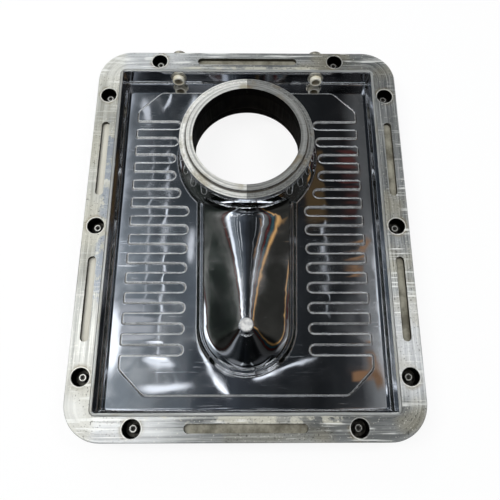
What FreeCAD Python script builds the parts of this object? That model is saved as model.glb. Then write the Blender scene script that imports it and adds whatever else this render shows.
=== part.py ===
import FreeCAD, Part
import math
import os

from FreeCAD import Vector

os.makedirs("parts", exist_ok=True)

# Lengths in millimetres. X runs across the mould, Y from the front edge to the collar's end, Z up.
# The origin is the middle of the back face, which lies on the floor.

# Heights
PARTING_Z = 54.0
FRAME_SEAT_Z = 18.0
FLOOR_Z = 23.0
PLATEAU_RISE = 3.0
BACK_POCKET_Z = 10.0

# Frame and cavity
CAVITY_X = 430.0
CAVITY_Y = 565.0
FRAME_BAND_X = 41.0
FRAME_BAND_Y = 40.0
OUTER_X = CAVITY_X + 2 * FRAME_BAND_X
OUTER_Y = CAVITY_Y + 2 * FRAME_BAND_Y
OUTER_R = 55.0
OUTER_EDGE_CHAMFER = 1.5
CAVITY_R = 4.5
CAVITY_DRAFT_DEG = 1.5
CAVITY_FOOT_R = 4.0
UPSTAND_T = 4.5
UPSTAND_GAP = 0.1
SEAM_CHAMFER = 0.4
BACK_POCKET_MARGIN = 9.0
BACK_POCKET_X = CAVITY_X - 2 * BACK_POCKET_MARGIN
BACK_POCKET_Y = CAVITY_Y - 2 * BACK_POCKET_MARGIN
BACK_POCKET_R = 16.0

# Frame screws, two at each end and three down each side
SCREW_MARGIN_X = 20.0
SCREW_MARGIN_Y = 19.0
REAR_SCREW_INSET = 62.0
FRONT_SCREW_INSET = 56.5
SIDE_SCREW_INSET = 48.5
SCREW_LINE_X = OUTER_X / 2 - SCREW_MARGIN_X
SCREW_LINE_Y = OUTER_Y / 2 - SCREW_MARGIN_Y
REAR_SCREW_X = CAVITY_X / 2 - REAR_SCREW_INSET
FRONT_SCREW_X = CAVITY_X / 2 - FRONT_SCREW_INSET
SIDE_SCREW_END_Y = CAVITY_Y / 2 - SIDE_SCREW_INSET
SIDE_SCREW_MIDDLE_Y = -4.0
COUNTERBORE_R = 13.0
COUNTERBORE_DEPTH = 21.0
COUNTERBORE_CHAMFER = 0.6
M8_R = 4.0
M8_HEAD_R = 6.5
M8_HEAD_H = 8.0
M8_SOCKET_AF = 6.0
M8_SOCKET_DEPTH = 4.0
M8_LENGTH = 30.0
M8_HOLE_R = 4.5
M8_TAP_SPARE = 2.0
WASHER_R = 12.0
WASHER_HOLE_R = 4.2
WASHER_T = 2.0
THREAD_GAP = 0.04

# Blind pockets in the frame face, between the screws
POCKET_W = 13.0
POCKET_DEPTH = 7.0
END_POCKET_INSET = 128.5
END_POCKET_L = CAVITY_X - 2 * END_POCKET_INSET
REAR_POCKET_MARGIN = 52.0
FRONT_POCKET_MARGIN = 50.0

# Ribbed plateau
GUTTER_X = 23.5
GUTTER_Y = 22.0
PLATEAU_X = CAVITY_X / 2 - GUTTER_X
PLATEAU_Y = CAVITY_Y / 2 - GUTTER_Y
PLATEAU_CHAMFER = 39.0
PLATEAU_CORNER_R = 14.0
PLATEAU_WALL_RUN = 1.2
PLATEAU_EDGE_R = 1.3
GROOVE_COUNT = 13
GROOVE_PITCH = 32.2
GROOVE_W = 13.6
GROOVE_MOUTH_R = 4.0

# Neck and collar
NECK_FROM_REAR = 151.0
NECK_Y = CAVITY_Y / 2 - NECK_FROM_REAR
NECK_FOOT_R = 115.6
NECK_TOP_Z = 85.0
COLLAR_BAND_Z = 93.0
COLLAR_BAND_R = 106.3
COLLAR_LIP_Z = 98.0
COLLAR_LIP_R = 95.2
COLLAR_BORE_R = 85.0
COLLAR_EDGE = 0.5
COLLAR_SPIGOT_R = 91.0
COLLAR_SPIGOT_H = 3.0
COLLAR_SPLIT_GAP = 0.06
COLLAR_FIT = 0.05
BORE_STEP_Z = 44.0
BORE_LOW_R = 90.0
BORE_RIM_Z = 22.0
BORE_RELIEF_R = 104.0
COLLAR_SCREW_PCR = 98.0
COLLAR_SCREW_COUNT = 8
M6_R = 3.0
M6_HEAD_R = 5.0
M6_HEAD_H = 6.0
M6_SOCKET_AF = 5.0
M6_SOCKET_DEPTH = 3.0
M6_LENGTH = 16.0
M6_HOLE_R = 3.3
M6_POCKET_R = 5.5
M6_WEB = 10.0

# Bowl core, a drafted step with a dome on it that narrows to the pin
BOWL_FROM_NECK = 71.5
BOWL_FROM_FRONT = 125.5
BOWL_REAR_Y = NECK_Y - BOWL_FROM_NECK
BOWL_REAR_HALF = 80.5
BOWL_END_Y = BOWL_FROM_FRONT - CAVITY_Y / 2
BOWL_END_HALF = 75.0
BOWL_STEP_H = 9.0
BOWL_STEP_DRAFT = 2.6
BOWL_STEP_EDGE_R = 2.6
BOWL_SHELF = 6.6
DOME_REAR_SIDE = 16.0
DOME_END_SIDE = 2.0
DOME_SIDE_DRAFT = 8.0
DOME_REAR_ARCH = 8.0
DOME_END_ARCH = 20.0
DOME_REAR_ROUND = 1.3
DOME_END_ROUND = 0.13
DOME_FOOT_EASE = 0.15
DOME_FOOT_LIFT = 0.1
DOME_TOP_SPACE = 40.0
SWEEP_RISE = 16.0
SWEEP_IN = 2.0
SWEEP_LENGTH = 5.0
DOME_COLUMNS = 49
DOME_ROWS = 73
BOWL_WALL = 12.0
HOLLOW_FROM_NECK = 127.5
HOLLOW_REAR_Y = NECK_Y - HOLLOW_FROM_NECK
CORE_FILLET = 3.0

# Inner ends of the grooves, from the rear, clear of the neck and then of the bowl
GROOVE_GAPS_BY_NECK = (0.9, 4.4, 7.4, 5.9, -3.6)
GROOVE_GAP_BY_BOWL = 16.5
GROOVE_ENDS_BY_NECK = [NECK_FOOT_R + gap for gap in GROOVE_GAPS_BY_NECK]
GROOVE_END_X = BOWL_REAR_HALF + GROOVE_GAP_BY_BOWL

# Pin on the dome
PIN_PAST_END = 3.5
PIN_Y = BOWL_END_Y - PIN_PAST_END
PIN_R = 9.8
PIN_H = 9.0
PIN_EDGE = 0.7
PIN_SEAT_SINK = 2.2
PIN_SEAT_GAP = 0.25
PIN_SHANK_R = 6.0
PIN_SHANK_GAP = 0.1
PIN_SHANK_L = 28.0
PIN_BOSS_R = 15.0
PIN_BOSS_T = 14.0
NUT_AF = 19.0
NUT_H = 6.0

# Vents
VENT_INSET = 93.7
VENT_X = CAVITY_X / 2 - VENT_INSET
VENT_DROP = 17.5
TUBE_R = 10.0
TUBE_BORE_R = 7.0
TUBE_PROUD_FRONT = 8.5
TUBE_PROUD_REAR = 10.5
TUBE_FRONT_Y = CAVITY_Y / 2 - TUBE_PROUD_FRONT
TUBE_REAR_Y = OUTER_Y / 2 + TUBE_PROUD_REAR
TUBE_EDGE = 0.6
TUBE_RUN_GAP = 0.06
BUSH_R = 12.5
BUSH_FIT = 0.05
BUSH_HEAD_R = 13.2
BUSH_HEAD_PROUD = 1.6
BUSH_HEAD_SINK = 1.6
BUSH_PROUD_REAR = 8.5
BUSH_REAR_Y = OUTER_Y / 2 + BUSH_PROUD_REAR
BUSH_EDGE = 0.8

# Tapped holes in the back face
BACK_HOLE_R = 5.1
BACK_HOLE_DEPTH = 14.0
BACK_HOLE_X = SCREW_LINE_X
BACK_HOLE_Y = 150.0

PLATEAU_Z = FLOOR_Z + PLATEAU_RISE
SHELF_Z = PLATEAU_Z + BOWL_STEP_H
DOME_INSET = BOWL_STEP_DRAFT + BOWL_SHELF
VENT_Z = PARTING_Z - VENT_DROP
COUNTERBORE_Z = PARTING_Z - COUNTERBORE_DEPTH


# Outlines and plain solids

def rounded_wire(corners, z):
    """Closed outline through (x, y, radius) corners, each rounded by its own radius."""
    edges = []
    starts = []
    ends = []
    mids = []
    count = len(corners)
    for i in range(count):
        here = Vector(corners[i][0], corners[i][1], z)
        before = Vector(corners[i - 1][0], corners[i - 1][1], z)
        after = Vector(corners[(i + 1) % count][0], corners[(i + 1) % count][1], z)
        to_before = (before - here).normalize()
        to_after = (after - here).normalize()
        half = to_before.getAngle(to_after) / 2
        radius = corners[i][2]
        reach = radius / math.tan(half)
        bisector = (to_before + to_after).normalize()
        centre = here + bisector * (radius / math.sin(half))
        starts.append(here + to_before * reach)
        ends.append(here + to_after * reach)
        mids.append(centre - bisector * radius)
    for i in range(count):
        edges.append(Part.Arc(starts[i], mids[i], ends[i]).toShape())
        edges.append(Part.LineSegment(ends[i], starts[(i + 1) % count]).toShape())
    return Part.Wire(edges)


def rectangle_corners(size_x, size_y, radius):
    x = size_x / 2
    y = size_y / 2
    return [(x, y, radius), (-x, y, radius), (-x, -y, radius), (x, -y, radius)]


def plate(size_x, size_y, radius, z0, z1):
    face = Part.Face(rounded_wire(rectangle_corners(size_x, size_y, radius), z0))
    return face.extrude(Vector(0, 0, z1 - z0))


def rod(x, y, z0, z1, radius):
    return Part.makeCylinder(radius, z1 - z0, Vector(x, y, z0), Vector(0, 0, 1))


def rod_along_y(x, z, y0, y1, radius):
    return Part.makeCylinder(radius, y1 - y0, Vector(x, y0, z), Vector(0, 1, 0))


def cone(x, y, z0, z1, r0, r1):
    return Part.makeCone(r0, r1, z1 - z0, Vector(x, y, z0), Vector(0, 0, 1))


def hexagon(across_flats, x, y, z0, z1):
    corner_r = across_flats / math.sqrt(3)
    points = []
    for i in range(7):
        angle = math.radians(60 * i)
        points.append(Vector(x + corner_r * math.cos(angle), y + corner_r * math.sin(angle), z0))
    return Part.Face(Part.makePolygon(points)).extrude(Vector(0, 0, z1 - z0))


def turned(points):
    """Solid of revolution about Z from (radius, z) points."""
    vectors = [Vector(r, 0, z) for r, z in points]
    vectors.append(vectors[0])
    face = Part.Face(Part.makePolygon(vectors))
    return face.revolve(Vector(0, 0, 0), Vector(0, 0, 1), 360)


def moved(shape, x, y, z):
    copy = shape.copy()
    copy.translate(Vector(x, y, z))
    return copy


def edges_where(shape, test):
    return [edge for edge in shape.Edges if test(edge.BoundBox)]


def write(node, shape):
    if not shape.isValid():
        raise RuntimeError(node + " is not valid")
    shape.exportStep("parts/" + node + ".step")
    print(node, len(shape.Solids), "solids", round(shape.Volume / 1000, 1), "cm3")


# Socket screws

def socket_screw(radius, length, head_r, head_h, socket_af, socket_depth):
    """Socket head screw, head up, underside of the head at z 0."""
    edge = head_r * 0.1
    tip = radius * 0.25
    body = turned([(0, -length), (radius - tip, -length), (radius, -length + tip), (radius, 0),
                   (head_r, 0), (head_r, head_h - edge), (head_r - edge, head_h), (0, head_h)])
    socket = hexagon(socket_af, 0, 0, head_h - socket_depth, head_h + 1)
    mouth_r = socket_af / math.sqrt(3) + 0.15
    mouth = cone(0, 0, head_h - mouth_r + 0.1, head_h + 0.1, 0.1, mouth_r + 0.1)
    return body.cut(socket).cut(mouth)


def frame_screw_spots():
    spots = [(REAR_SCREW_X, SCREW_LINE_Y), (FRONT_SCREW_X, -SCREW_LINE_Y)]
    for y in (SIDE_SCREW_END_Y, SIDE_SCREW_MIDDLE_Y, -SIDE_SCREW_END_Y):
        spots.append((SCREW_LINE_X, y))
    return spots + [(-x, y) for x, y in spots]


def frame_screws():
    screw = socket_screw(M8_R, M8_LENGTH, M8_HEAD_R, M8_HEAD_H, M8_SOCKET_AF, M8_SOCKET_DEPTH)
    seat = COUNTERBORE_Z + WASHER_T
    return Part.makeCompound([moved(screw, x, y, seat) for x, y in frame_screw_spots()])


def frame_washers():
    disc = turned([(WASHER_HOLE_R, 0), (WASHER_R, 0), (WASHER_R, WASHER_T - 0.3),
                   (WASHER_R - 0.3, WASHER_T), (WASHER_HOLE_R, WASHER_T)])
    return Part.makeCompound([moved(disc, x, y, COUNTERBORE_Z) for x, y in frame_screw_spots()])


def collar_screw_spots():
    spots = []
    for i in range(COLLAR_SCREW_COUNT):
        angle = math.radians(360 / COLLAR_SCREW_COUNT * (i + 0.5))
        x = COLLAR_SCREW_PCR * math.cos(angle)
        y = NECK_Y + COLLAR_SCREW_PCR * math.sin(angle)
        spots.append((x, y))
    return spots


def collar_screws():
    screw = socket_screw(M6_R, M6_LENGTH, M6_HEAD_R, M6_HEAD_H, M6_SOCKET_AF, M6_SOCKET_DEPTH)
    screw.rotate(Vector(0, 0, 0), Vector(1, 0, 0), 180)
    seat = NECK_TOP_Z - M6_WEB
    return Part.makeCompound([moved(screw, x, y, seat) for x, y in collar_screw_spots()])


# Frame

def pocket(x, y, size_x, size_y):
    """Round-ended pocket in the frame's face, centred on x and y."""
    end_r = POCKET_W / 2 - 0.02
    return moved(plate(size_x, size_y, end_r, PARTING_Z - POCKET_DEPTH, PARTING_Z + 1), x, y, 0)


def frame_pockets():
    pockets = [pocket(0, SCREW_LINE_Y, END_POCKET_L, POCKET_W),
               pocket(0, -SCREW_LINE_Y, END_POCKET_L, POCKET_W)]
    stretches = [(SIDE_SCREW_MIDDLE_Y, SIDE_SCREW_END_Y, REAR_POCKET_MARGIN),
                 (-SIDE_SCREW_END_Y, SIDE_SCREW_MIDDLE_Y, FRONT_POCKET_MARGIN)]
    for low, high, margin in stretches:
        for side in (-1, 1):
            pockets.append(pocket(side * SCREW_LINE_X, (low + high) / 2, POCKET_W, high - low - 2 * margin))
    return pockets


def frame_screw_cutter(x, y):
    shank = rod(x, y, FRAME_SEAT_Z - 1, COUNTERBORE_Z + 1, M8_HOLE_R)
    head = rod(x, y, COUNTERBORE_Z, PARTING_Z + 1, COUNTERBORE_R)
    low = PARTING_Z - COUNTERBORE_CHAMFER
    wide = COUNTERBORE_R + COUNTERBORE_CHAMFER + 1
    mouth = cone(x, y, low, PARTING_Z + 1, COUNTERBORE_R, wide)
    return shank.fuse([head, mouth])


def parting_frame():
    body = plate(OUTER_X, OUTER_Y, OUTER_R, FRAME_SEAT_Z, PARTING_Z)
    top_edges = edges_where(body, lambda box: box.ZMin > PARTING_Z - 0.01)
    body = body.makeChamfer(OUTER_EDGE_CHAMFER, top_edges)
    gap = UPSTAND_T + UPSTAND_GAP
    opening = plate(CAVITY_X + 2 * gap, CAVITY_Y + 2 * gap, CAVITY_R + gap,
                    FRAME_SEAT_Z - 1, PARTING_Z + 1)
    body = body.cut(opening)
    inner_x = CAVITY_X / 2 + gap + 1
    inner_y = CAVITY_Y / 2 + gap + 1

    def seam(box):
        inside = abs(box.XMin) < inner_x and abs(box.XMax) < inner_x
        inside = inside and abs(box.YMin) < inner_y and abs(box.YMax) < inner_y
        return inside and box.ZMin > PARTING_Z - 0.01

    body = body.makeChamfer(SEAM_CHAMFER, edges_where(body, seam))
    cutters = [frame_screw_cutter(x, y) for x, y in frame_screw_spots()]
    cutters += frame_pockets()
    for side in (-1, 1):
        x = side * VENT_X
        cutters.append(rod_along_y(x, VENT_Z, CAVITY_Y / 2, OUTER_Y / 2 + 5, BUSH_R + BUSH_FIT))
    return body.cut(cutters)


# Ribbed plateau

def groove_ends():
    ends = list(GROOVE_ENDS_BY_NECK)
    while len(ends) < GROOVE_COUNT:
        ends.append(GROOVE_END_X)
    return ends


def plateau_corners(inset):
    """Outline of the plateau, drawn in by inset, right side first and top to bottom."""
    lean = inset * (math.sqrt(2) - 1)
    edge_x = PLATEAU_X - inset
    edge_y = PLATEAU_Y - inset
    cut_x = PLATEAU_X - PLATEAU_CHAMFER - lean
    cut_y = PLATEAU_Y - PLATEAU_CHAMFER - lean
    half = GROOVE_W / 2 + inset
    mouth_r = GROOVE_MOUTH_R - inset
    corner_r = PLATEAU_CORNER_R - inset
    right = [(cut_x, edge_y, corner_r), (edge_x, cut_y, corner_r)]
    for i, end in enumerate(groove_ends()):
        y = GROOVE_PITCH * ((GROOVE_COUNT - 1) / 2 - i)
        right.append((edge_x, y + half, mouth_r))
        right.append((end - inset, y + half, half - 0.02))
        right.append((end - inset, y - half, half - 0.02))
        right.append((edge_x, y - half, mouth_r))
    right.append((edge_x, -cut_y, corner_r))
    right.append((cut_x, -edge_y, corner_r))
    left = [(-x, y, r) for x, y, r in reversed(right)]
    return right + left


def ribbed_plateau():
    low = rounded_wire(plateau_corners(0), FLOOR_Z)
    high = rounded_wire(plateau_corners(PLATEAU_WALL_RUN), PLATEAU_Z)
    root = Part.Face(low).extrude(Vector(0, 0, -4))
    panel = Part.makeLoft([low, high], True, True)
    if PLATEAU_EDGE_R:
        top_edges = edges_where(panel, lambda box: box.ZMin > PLATEAU_Z - 0.01)
        panel = panel.makeFillet(PLATEAU_EDGE_R, top_edges)
    return panel.fuse(root)


# Bowl core

def ridged(u, roundness):
    """One at the middle, zero at the edges. A small roundness gives straight flanks and a sharp ridge."""
    top = math.hypot(1, roundness)
    return (top - math.hypot(u, roundness)) / (top - roundness)


def along_bowl(y):
    """Zero at the bowl's rear, one at the middle of its round end."""
    return (BOWL_REAR_Y - y) / (BOWL_REAR_Y - BOWL_END_Y)


def bowl_half(y):
    return BOWL_REAR_HALF + (BOWL_END_HALF - BOWL_REAR_HALF) * along_bowl(y)


def eased_foot(u):
    """The same as u at the middle and at the foot, u 1, with a hollow curve that runs out along the shelf."""
    ease = DOME_FOOT_EASE
    curve = (math.hypot(1 - u, ease) - ease) / (math.hypot(1, ease) - ease)
    return 1 - (1 - DOME_FOOT_LIFT) * curve - DOME_FOOT_LIFT * (1 - u)


def neck_sweep(x, y, z):
    """Extra rise where the dome runs up into the neck, fading with the distance from it."""
    apart = math.hypot(x, y - NECK_Y) - neck_r(z)
    return SWEEP_RISE / (1 + math.exp((apart + SWEEP_IN) / SWEEP_LENGTH))


def dome_z(x, y):
    """Height of the dome's surface, a walled arch at the neck that turns into a ridge towards the pin."""
    along = min(along_bowl(y), 1)
    left = 1 - along
    side = DOME_END_SIDE + (DOME_REAR_SIDE - DOME_END_SIDE) * left
    arch = DOME_END_ARCH + (DOME_REAR_ARCH - DOME_END_ARCH) * left ** 2
    roundness = DOME_END_ROUND + (DOME_REAR_ROUND - DOME_END_ROUND) * left ** 2
    half = bowl_half(max(y, BOWL_END_Y)) - DOME_INSET
    u = math.hypot(x, min(y - BOWL_END_Y, 0)) / half
    u += (eased_foot(u) - u) * max(along, 0)
    sweep = neck_sweep(x, y, SHELF_Z + side + arch)
    return SHELF_Z + side + arch * ridged(u, roundness) + sweep


def dome_block(drop, depth):
    """Solid under the dome's surface, lowered by drop, over a rectangle wider than the bowl."""
    wide = BOWL_REAR_HALF + 4
    front = BOWL_END_Y - BOWL_END_HALF - 4
    rows = []
    for i in range(DOME_COLUMNS):
        x = -wide + 2 * wide * i / (DOME_COLUMNS - 1)
        row = []
        for j in range(DOME_ROWS):
            y = front + (BOWL_REAR_Y - front) * j / (DOME_ROWS - 1)
            row.append(Vector(x, y, dome_z(x, y) - drop))
        rows.append(row)
    surface = Part.BSplineSurface()
    surface.interpolate(rows)
    return surface.toShape().extrude(Vector(0, 0, -depth))


def dome():
    """The dome's block, held inside a drafted wall that stands on the shelf."""
    draft = math.tan(math.radians(DOME_SIDE_DRAFT))
    foot_z = PLATEAU_Z - 1
    head_z = SHELF_Z + DOME_TOP_SPACE
    low = u_wire(DOME_INSET + (foot_z - SHELF_Z) * draft, BOWL_REAR_Y, foot_z)
    high = u_wire(DOME_INSET + (head_z - SHELF_Z) * draft, BOWL_REAR_Y, head_z)
    return dome_block(0, 70).common(Part.makeLoft([low, high], True, True))


def hollow():
    """Space under the dome, open to the back, that leaves the bowl's wall."""
    outline = Part.Face(u_wire(DOME_INSET + BOWL_WALL, HOLLOW_REAR_Y, -1)).extrude(Vector(0, 0, 80))
    return dome_block(BOWL_WALL, 90).common(outline)


def u_wire(inset, rear_y, z):
    rear = bowl_half(rear_y) - inset
    front = BOWL_END_HALF - inset
    slope = (rear - front) / (rear_y - BOWL_END_Y)
    lean = math.atan(slope)
    side_y = BOWL_END_Y + front * math.sin(lean)
    side_x = front * math.cos(lean)
    start = Vector(side_x, side_y, z)
    end = Vector(-side_x, side_y, z)
    rear_right = Vector(side_x + slope * (rear_y - side_y), rear_y, z)
    rear_left = Vector(-rear_right.x, rear_y, z)
    nose = Part.Arc(start, Vector(0, BOWL_END_Y - front, z), end).toShape()
    return Part.Wire([Part.LineSegment(rear_right, start).toShape(), nose,
                      Part.LineSegment(end, rear_left).toShape(),
                      Part.LineSegment(rear_left, rear_right).toShape()])


def bowl_step():
    low = u_wire(0, BOWL_REAR_Y, PLATEAU_Z)
    high = u_wire(BOWL_STEP_DRAFT, BOWL_REAR_Y, SHELF_Z)
    step = Part.makeLoft([low, high], True, True)

    def rim(box):
        return box.ZMin > SHELF_Z - 0.01 and box.YMin < BOWL_REAR_Y - 1

    step = step.makeFillet(BOWL_STEP_EDGE_R, edges_where(step, rim))
    root = Part.Face(low).extrude(Vector(0, 0, -4))
    return step.fuse(root)


# Neck

def neck_r(z):
    share = (z - PLATEAU_Z) / (COLLAR_BAND_Z - PLATEAU_Z)
    return NECK_FOOT_R + (COLLAR_BAND_R - NECK_FOOT_R) * share


def neck():
    z0 = FLOOR_Z - 3
    return cone(0, NECK_Y, z0, NECK_TOP_Z, neck_r(z0), neck_r(NECK_TOP_Z))


def neck_cutters():
    upper = rod(0, NECK_Y, BORE_STEP_Z - 1, NECK_TOP_Z + 1, COLLAR_BORE_R)
    lower = rod(0, NECK_Y, BORE_RIM_Z - 1, BORE_STEP_Z, BORE_LOW_R)
    relief = rod(0, NECK_Y, -1, BORE_RIM_Z, BORE_RELIEF_R)
    seat = rod(0, NECK_Y, NECK_TOP_Z - COLLAR_SPIGOT_H, NECK_TOP_Z + 1, COLLAR_SPIGOT_R + COLLAR_FIT)
    cutters = [upper, lower, relief, seat]
    for x, y in collar_screw_spots():
        cutters.append(rod(x, y, BORE_RIM_Z - 1, NECK_TOP_Z - M6_WEB, M6_POCKET_R))
        cutters.append(rod(x, y, NECK_TOP_Z - M6_WEB - 1, NECK_TOP_Z + 1, M6_HOLE_R))
    return cutters


# Collar

def collar():
    foot = NECK_TOP_Z - COLLAR_SPIGOT_H
    ring = turned([(COLLAR_BORE_R, foot), (COLLAR_SPIGOT_R, foot), (COLLAR_SPIGOT_R, NECK_TOP_Z),
                   (neck_r(NECK_TOP_Z), NECK_TOP_Z), (COLLAR_BAND_R, COLLAR_BAND_Z - COLLAR_EDGE),
                   (COLLAR_BAND_R - COLLAR_EDGE, COLLAR_BAND_Z), (COLLAR_LIP_R, COLLAR_BAND_Z),
                   (COLLAR_LIP_R, COLLAR_LIP_Z - COLLAR_EDGE), (COLLAR_LIP_R - COLLAR_EDGE, COLLAR_LIP_Z),
                   (COLLAR_BORE_R + COLLAR_EDGE, COLLAR_LIP_Z), (COLLAR_BORE_R, COLLAR_LIP_Z - COLLAR_EDGE)])
    ring = moved(ring, 0, NECK_Y, 0)
    tapped = []
    for x, y in collar_screw_spots():
        top = NECK_TOP_Z - M6_WEB + M6_LENGTH + 0.6
        tapped.append(rod(x, y, NECK_TOP_Z - 1, top, M6_R + THREAD_GAP))
    return ring.cut(tapped)


def collar_half(side):
    gap = COLLAR_SPLIT_GAP / 2
    block = Part.makeBox(200, 400, 200, Vector(gap if side > 0 else -gap - 200, NECK_Y - 200, 0))
    return collar().common(block)


# Pin

def pin_seat_z():
    return dome_z(0, PIN_Y) - PIN_SEAT_SINK


def pin_boss():
    """Pad under the dome with a level face for the nut."""
    top = pin_seat_z()
    return rod(0, PIN_Y, top - PIN_BOSS_T, top - 2, PIN_BOSS_R)


def pin_cutters():
    seat = pin_seat_z()
    pocket = rod(0, PIN_Y, seat, seat + 10, PIN_R + PIN_SEAT_GAP)
    hole = rod(0, PIN_Y, seat - PIN_BOSS_T - 1, seat + 1, PIN_SHANK_R + PIN_SHANK_GAP)
    return [pocket, hole]


def bowl_pin():
    pin = turned([(0, -PIN_SHANK_L), (PIN_SHANK_R - 1, -PIN_SHANK_L), (PIN_SHANK_R, 1 - PIN_SHANK_L),
                  (PIN_SHANK_R, 0), (PIN_R, 0), (PIN_R, PIN_H - PIN_EDGE),
                  (PIN_R - PIN_EDGE, PIN_H), (0, PIN_H)])
    return moved(pin, 0, PIN_Y, pin_seat_z())


def bowl_pin_nut():
    top = pin_seat_z() - PIN_BOSS_T
    nut = hexagon(NUT_AF, 0, PIN_Y, top - NUT_H, top)
    corner_r = NUT_AF / math.sqrt(3)
    bevel = NUT_AF / 2 - 0.3
    drop = (corner_r - bevel) * math.tan(math.radians(30))
    disc = turned([(0, -NUT_H), (bevel, -NUT_H), (corner_r, drop - NUT_H), (corner_r, 0), (0, 0)])
    nut = nut.common(moved(disc, 0, PIN_Y, top))
    return nut.cut(rod(0, PIN_Y, top - NUT_H - 1, top + 1, PIN_SHANK_R + THREAD_GAP))


# Vents

def vent_bush(side):
    wall = CAVITY_Y / 2
    y0 = wall - BUSH_HEAD_PROUD
    y1 = wall + BUSH_HEAD_SINK
    profile = [(TUBE_R + TUBE_RUN_GAP, y0), (BUSH_HEAD_R - BUSH_EDGE, y0), (BUSH_HEAD_R, y0 + BUSH_EDGE),
               (BUSH_HEAD_R, y1), (BUSH_R, y1), (BUSH_R, BUSH_REAR_Y - BUSH_EDGE),
               (BUSH_R - BUSH_EDGE, BUSH_REAR_Y), (TUBE_R + TUBE_RUN_GAP, BUSH_REAR_Y)]
    return moved(laid_along_y(turned(profile)), side * VENT_X, 0, VENT_Z)


def vent_tube(side):
    profile = [(TUBE_BORE_R, TUBE_FRONT_Y), (TUBE_R - TUBE_EDGE, TUBE_FRONT_Y),
               (TUBE_R, TUBE_FRONT_Y + TUBE_EDGE), (TUBE_R, TUBE_REAR_Y - TUBE_EDGE),
               (TUBE_R - TUBE_EDGE, TUBE_REAR_Y), (TUBE_BORE_R, TUBE_REAR_Y)]
    return moved(laid_along_y(turned(profile)), side * VENT_X, 0, VENT_Z)


def laid_along_y(shape):
    shape.rotate(Vector(0, 0, 0), Vector(1, 0, 0), -90)
    return shape


def vent_cutters():
    cutters = []
    for side in (-1, 1):
        x = side * VENT_X
        wall = CAVITY_Y / 2
        cutters.append(rod_along_y(x, VENT_Z, wall - 8, wall + 10, BUSH_R + BUSH_FIT))
        spot_r = BUSH_HEAD_R + BUSH_FIT
        cutters.append(rod_along_y(x, VENT_Z, wall - 5, wall + BUSH_HEAD_SINK, spot_r))
    return cutters


# Shell

def cavity():
    lean = (PARTING_Z - FLOOR_Z) * math.tan(math.radians(CAVITY_DRAFT_DEG))
    low = rounded_wire(rectangle_corners(CAVITY_X - 2 * lean, CAVITY_Y - 2 * lean, CAVITY_R), FLOOR_Z)
    high = rounded_wire(rectangle_corners(CAVITY_X, CAVITY_Y, CAVITY_R), PARTING_Z)
    tool = Part.makeLoft([low, high], True, True)
    foot = edges_where(tool, lambda box: box.ZMax < FLOOR_Z + 0.01)
    tool = tool.makeFillet(CAVITY_FOOT_R, foot)
    return tool.fuse(Part.Face(high).extrude(Vector(0, 0, 60)))


def tray():
    flange = plate(OUTER_X, OUTER_Y, OUTER_R, 0, FRAME_SEAT_Z)
    bottom_edges = edges_where(flange, lambda box: box.ZMax < 0.01)
    flange = flange.makeChamfer(OUTER_EDGE_CHAMFER, bottom_edges)
    wall = plate(CAVITY_X + 2 * UPSTAND_T, CAVITY_Y + 2 * UPSTAND_T, CAVITY_R + UPSTAND_T, 5, PARTING_Z)
    block = flange.fuse(wall)
    pocket = plate(BACK_POCKET_X, BACK_POCKET_Y, BACK_POCKET_R, -1, BACK_POCKET_Z)
    return block.cut([cavity(), pocket])


def shell_holes():
    cutters = []
    for x, y in frame_screw_spots():
        tip = COUNTERBORE_Z + WASHER_T - M8_LENGTH - M8_TAP_SPARE
        cutters.append(rod(x, y, tip, FRAME_SEAT_Z + 1, M8_R + THREAD_GAP))
    for sx in (-1, 1):
        for sy in (-1, 1):
            cutters.append(rod(sx * BACK_HOLE_X, sy * BACK_HOLE_Y, -1, BACK_HOLE_DEPTH, BACK_HOLE_R))
    return cutters


def soft_edge(shape, radius, test, name):
    """Fillet the edges that pass the test, all together."""
    chosen = [edge for edge in shape.Edges if test(edge)]
    print("fillet", name, len(chosen), "edges")
    return shape.makeFillet(radius, chosen)


def core():
    bowl = bowl_step().fuse(dome())
    return neck().fuse(bowl)


def mould_shell():
    body = tray().fuse([ribbed_plateau(), core()])
    body = soft_edge(body, CORE_FILLET, core_crease, "core")
    body = body.cut([hollow()])
    body = body.fuse(pin_boss())
    return body.cut(pin_cutters() + neck_cutters() + vent_cutters() + shell_holes())


def core_crease(edge):
    """True on the creases round the neck and the bowl step, at the plateau and where the two meet."""
    box = edge.BoundBox
    if box.ZMin < PLATEAU_Z - 0.02 or box.ZMax > SHELF_Z + 0.5:
        return False
    if max(abs(box.XMin), abs(box.XMax)) > NECK_FOOT_R + 1 or box.YMax > NECK_Y + NECK_FOOT_R + 1:
        return False
    on_plateau = box.ZMax < PLATEAU_Z + 0.02
    middle = edge.valueAt((edge.FirstParameter + edge.LastParameter) / 2)
    reach = math.hypot(middle.x, middle.y - NECK_Y)
    on_neck = abs(reach - neck_r(middle.z)) < 0.3
    if on_plateau:
        wide = max(abs(box.XMin), abs(box.XMax))
        return on_neck or wide < BOWL_REAR_HALF + 1
    return on_neck and box.YMax < NECK_Y


def main_nodes():
    write("parting_frame", parting_frame())
    write("frame_screws", frame_screws())
    write("frame_washers", frame_washers())
    write("collar_half_left", collar_half(-1))
    write("collar_half_right", collar_half(1))
    write("collar_screws", collar_screws())
    write("bowl_pin", bowl_pin())
    write("bowl_pin_nut", bowl_pin_nut())
    write("vent_bush_left", vent_bush(-1))
    write("vent_bush_right", vent_bush(1))
    write("vent_tube_left", vent_tube(-1))
    write("vent_tube_right", vent_tube(1))
    write("mould_shell", mould_shell())


main_nodes()
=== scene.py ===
import math

import bpy
from mathutils import Matrix, Vector

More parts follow.
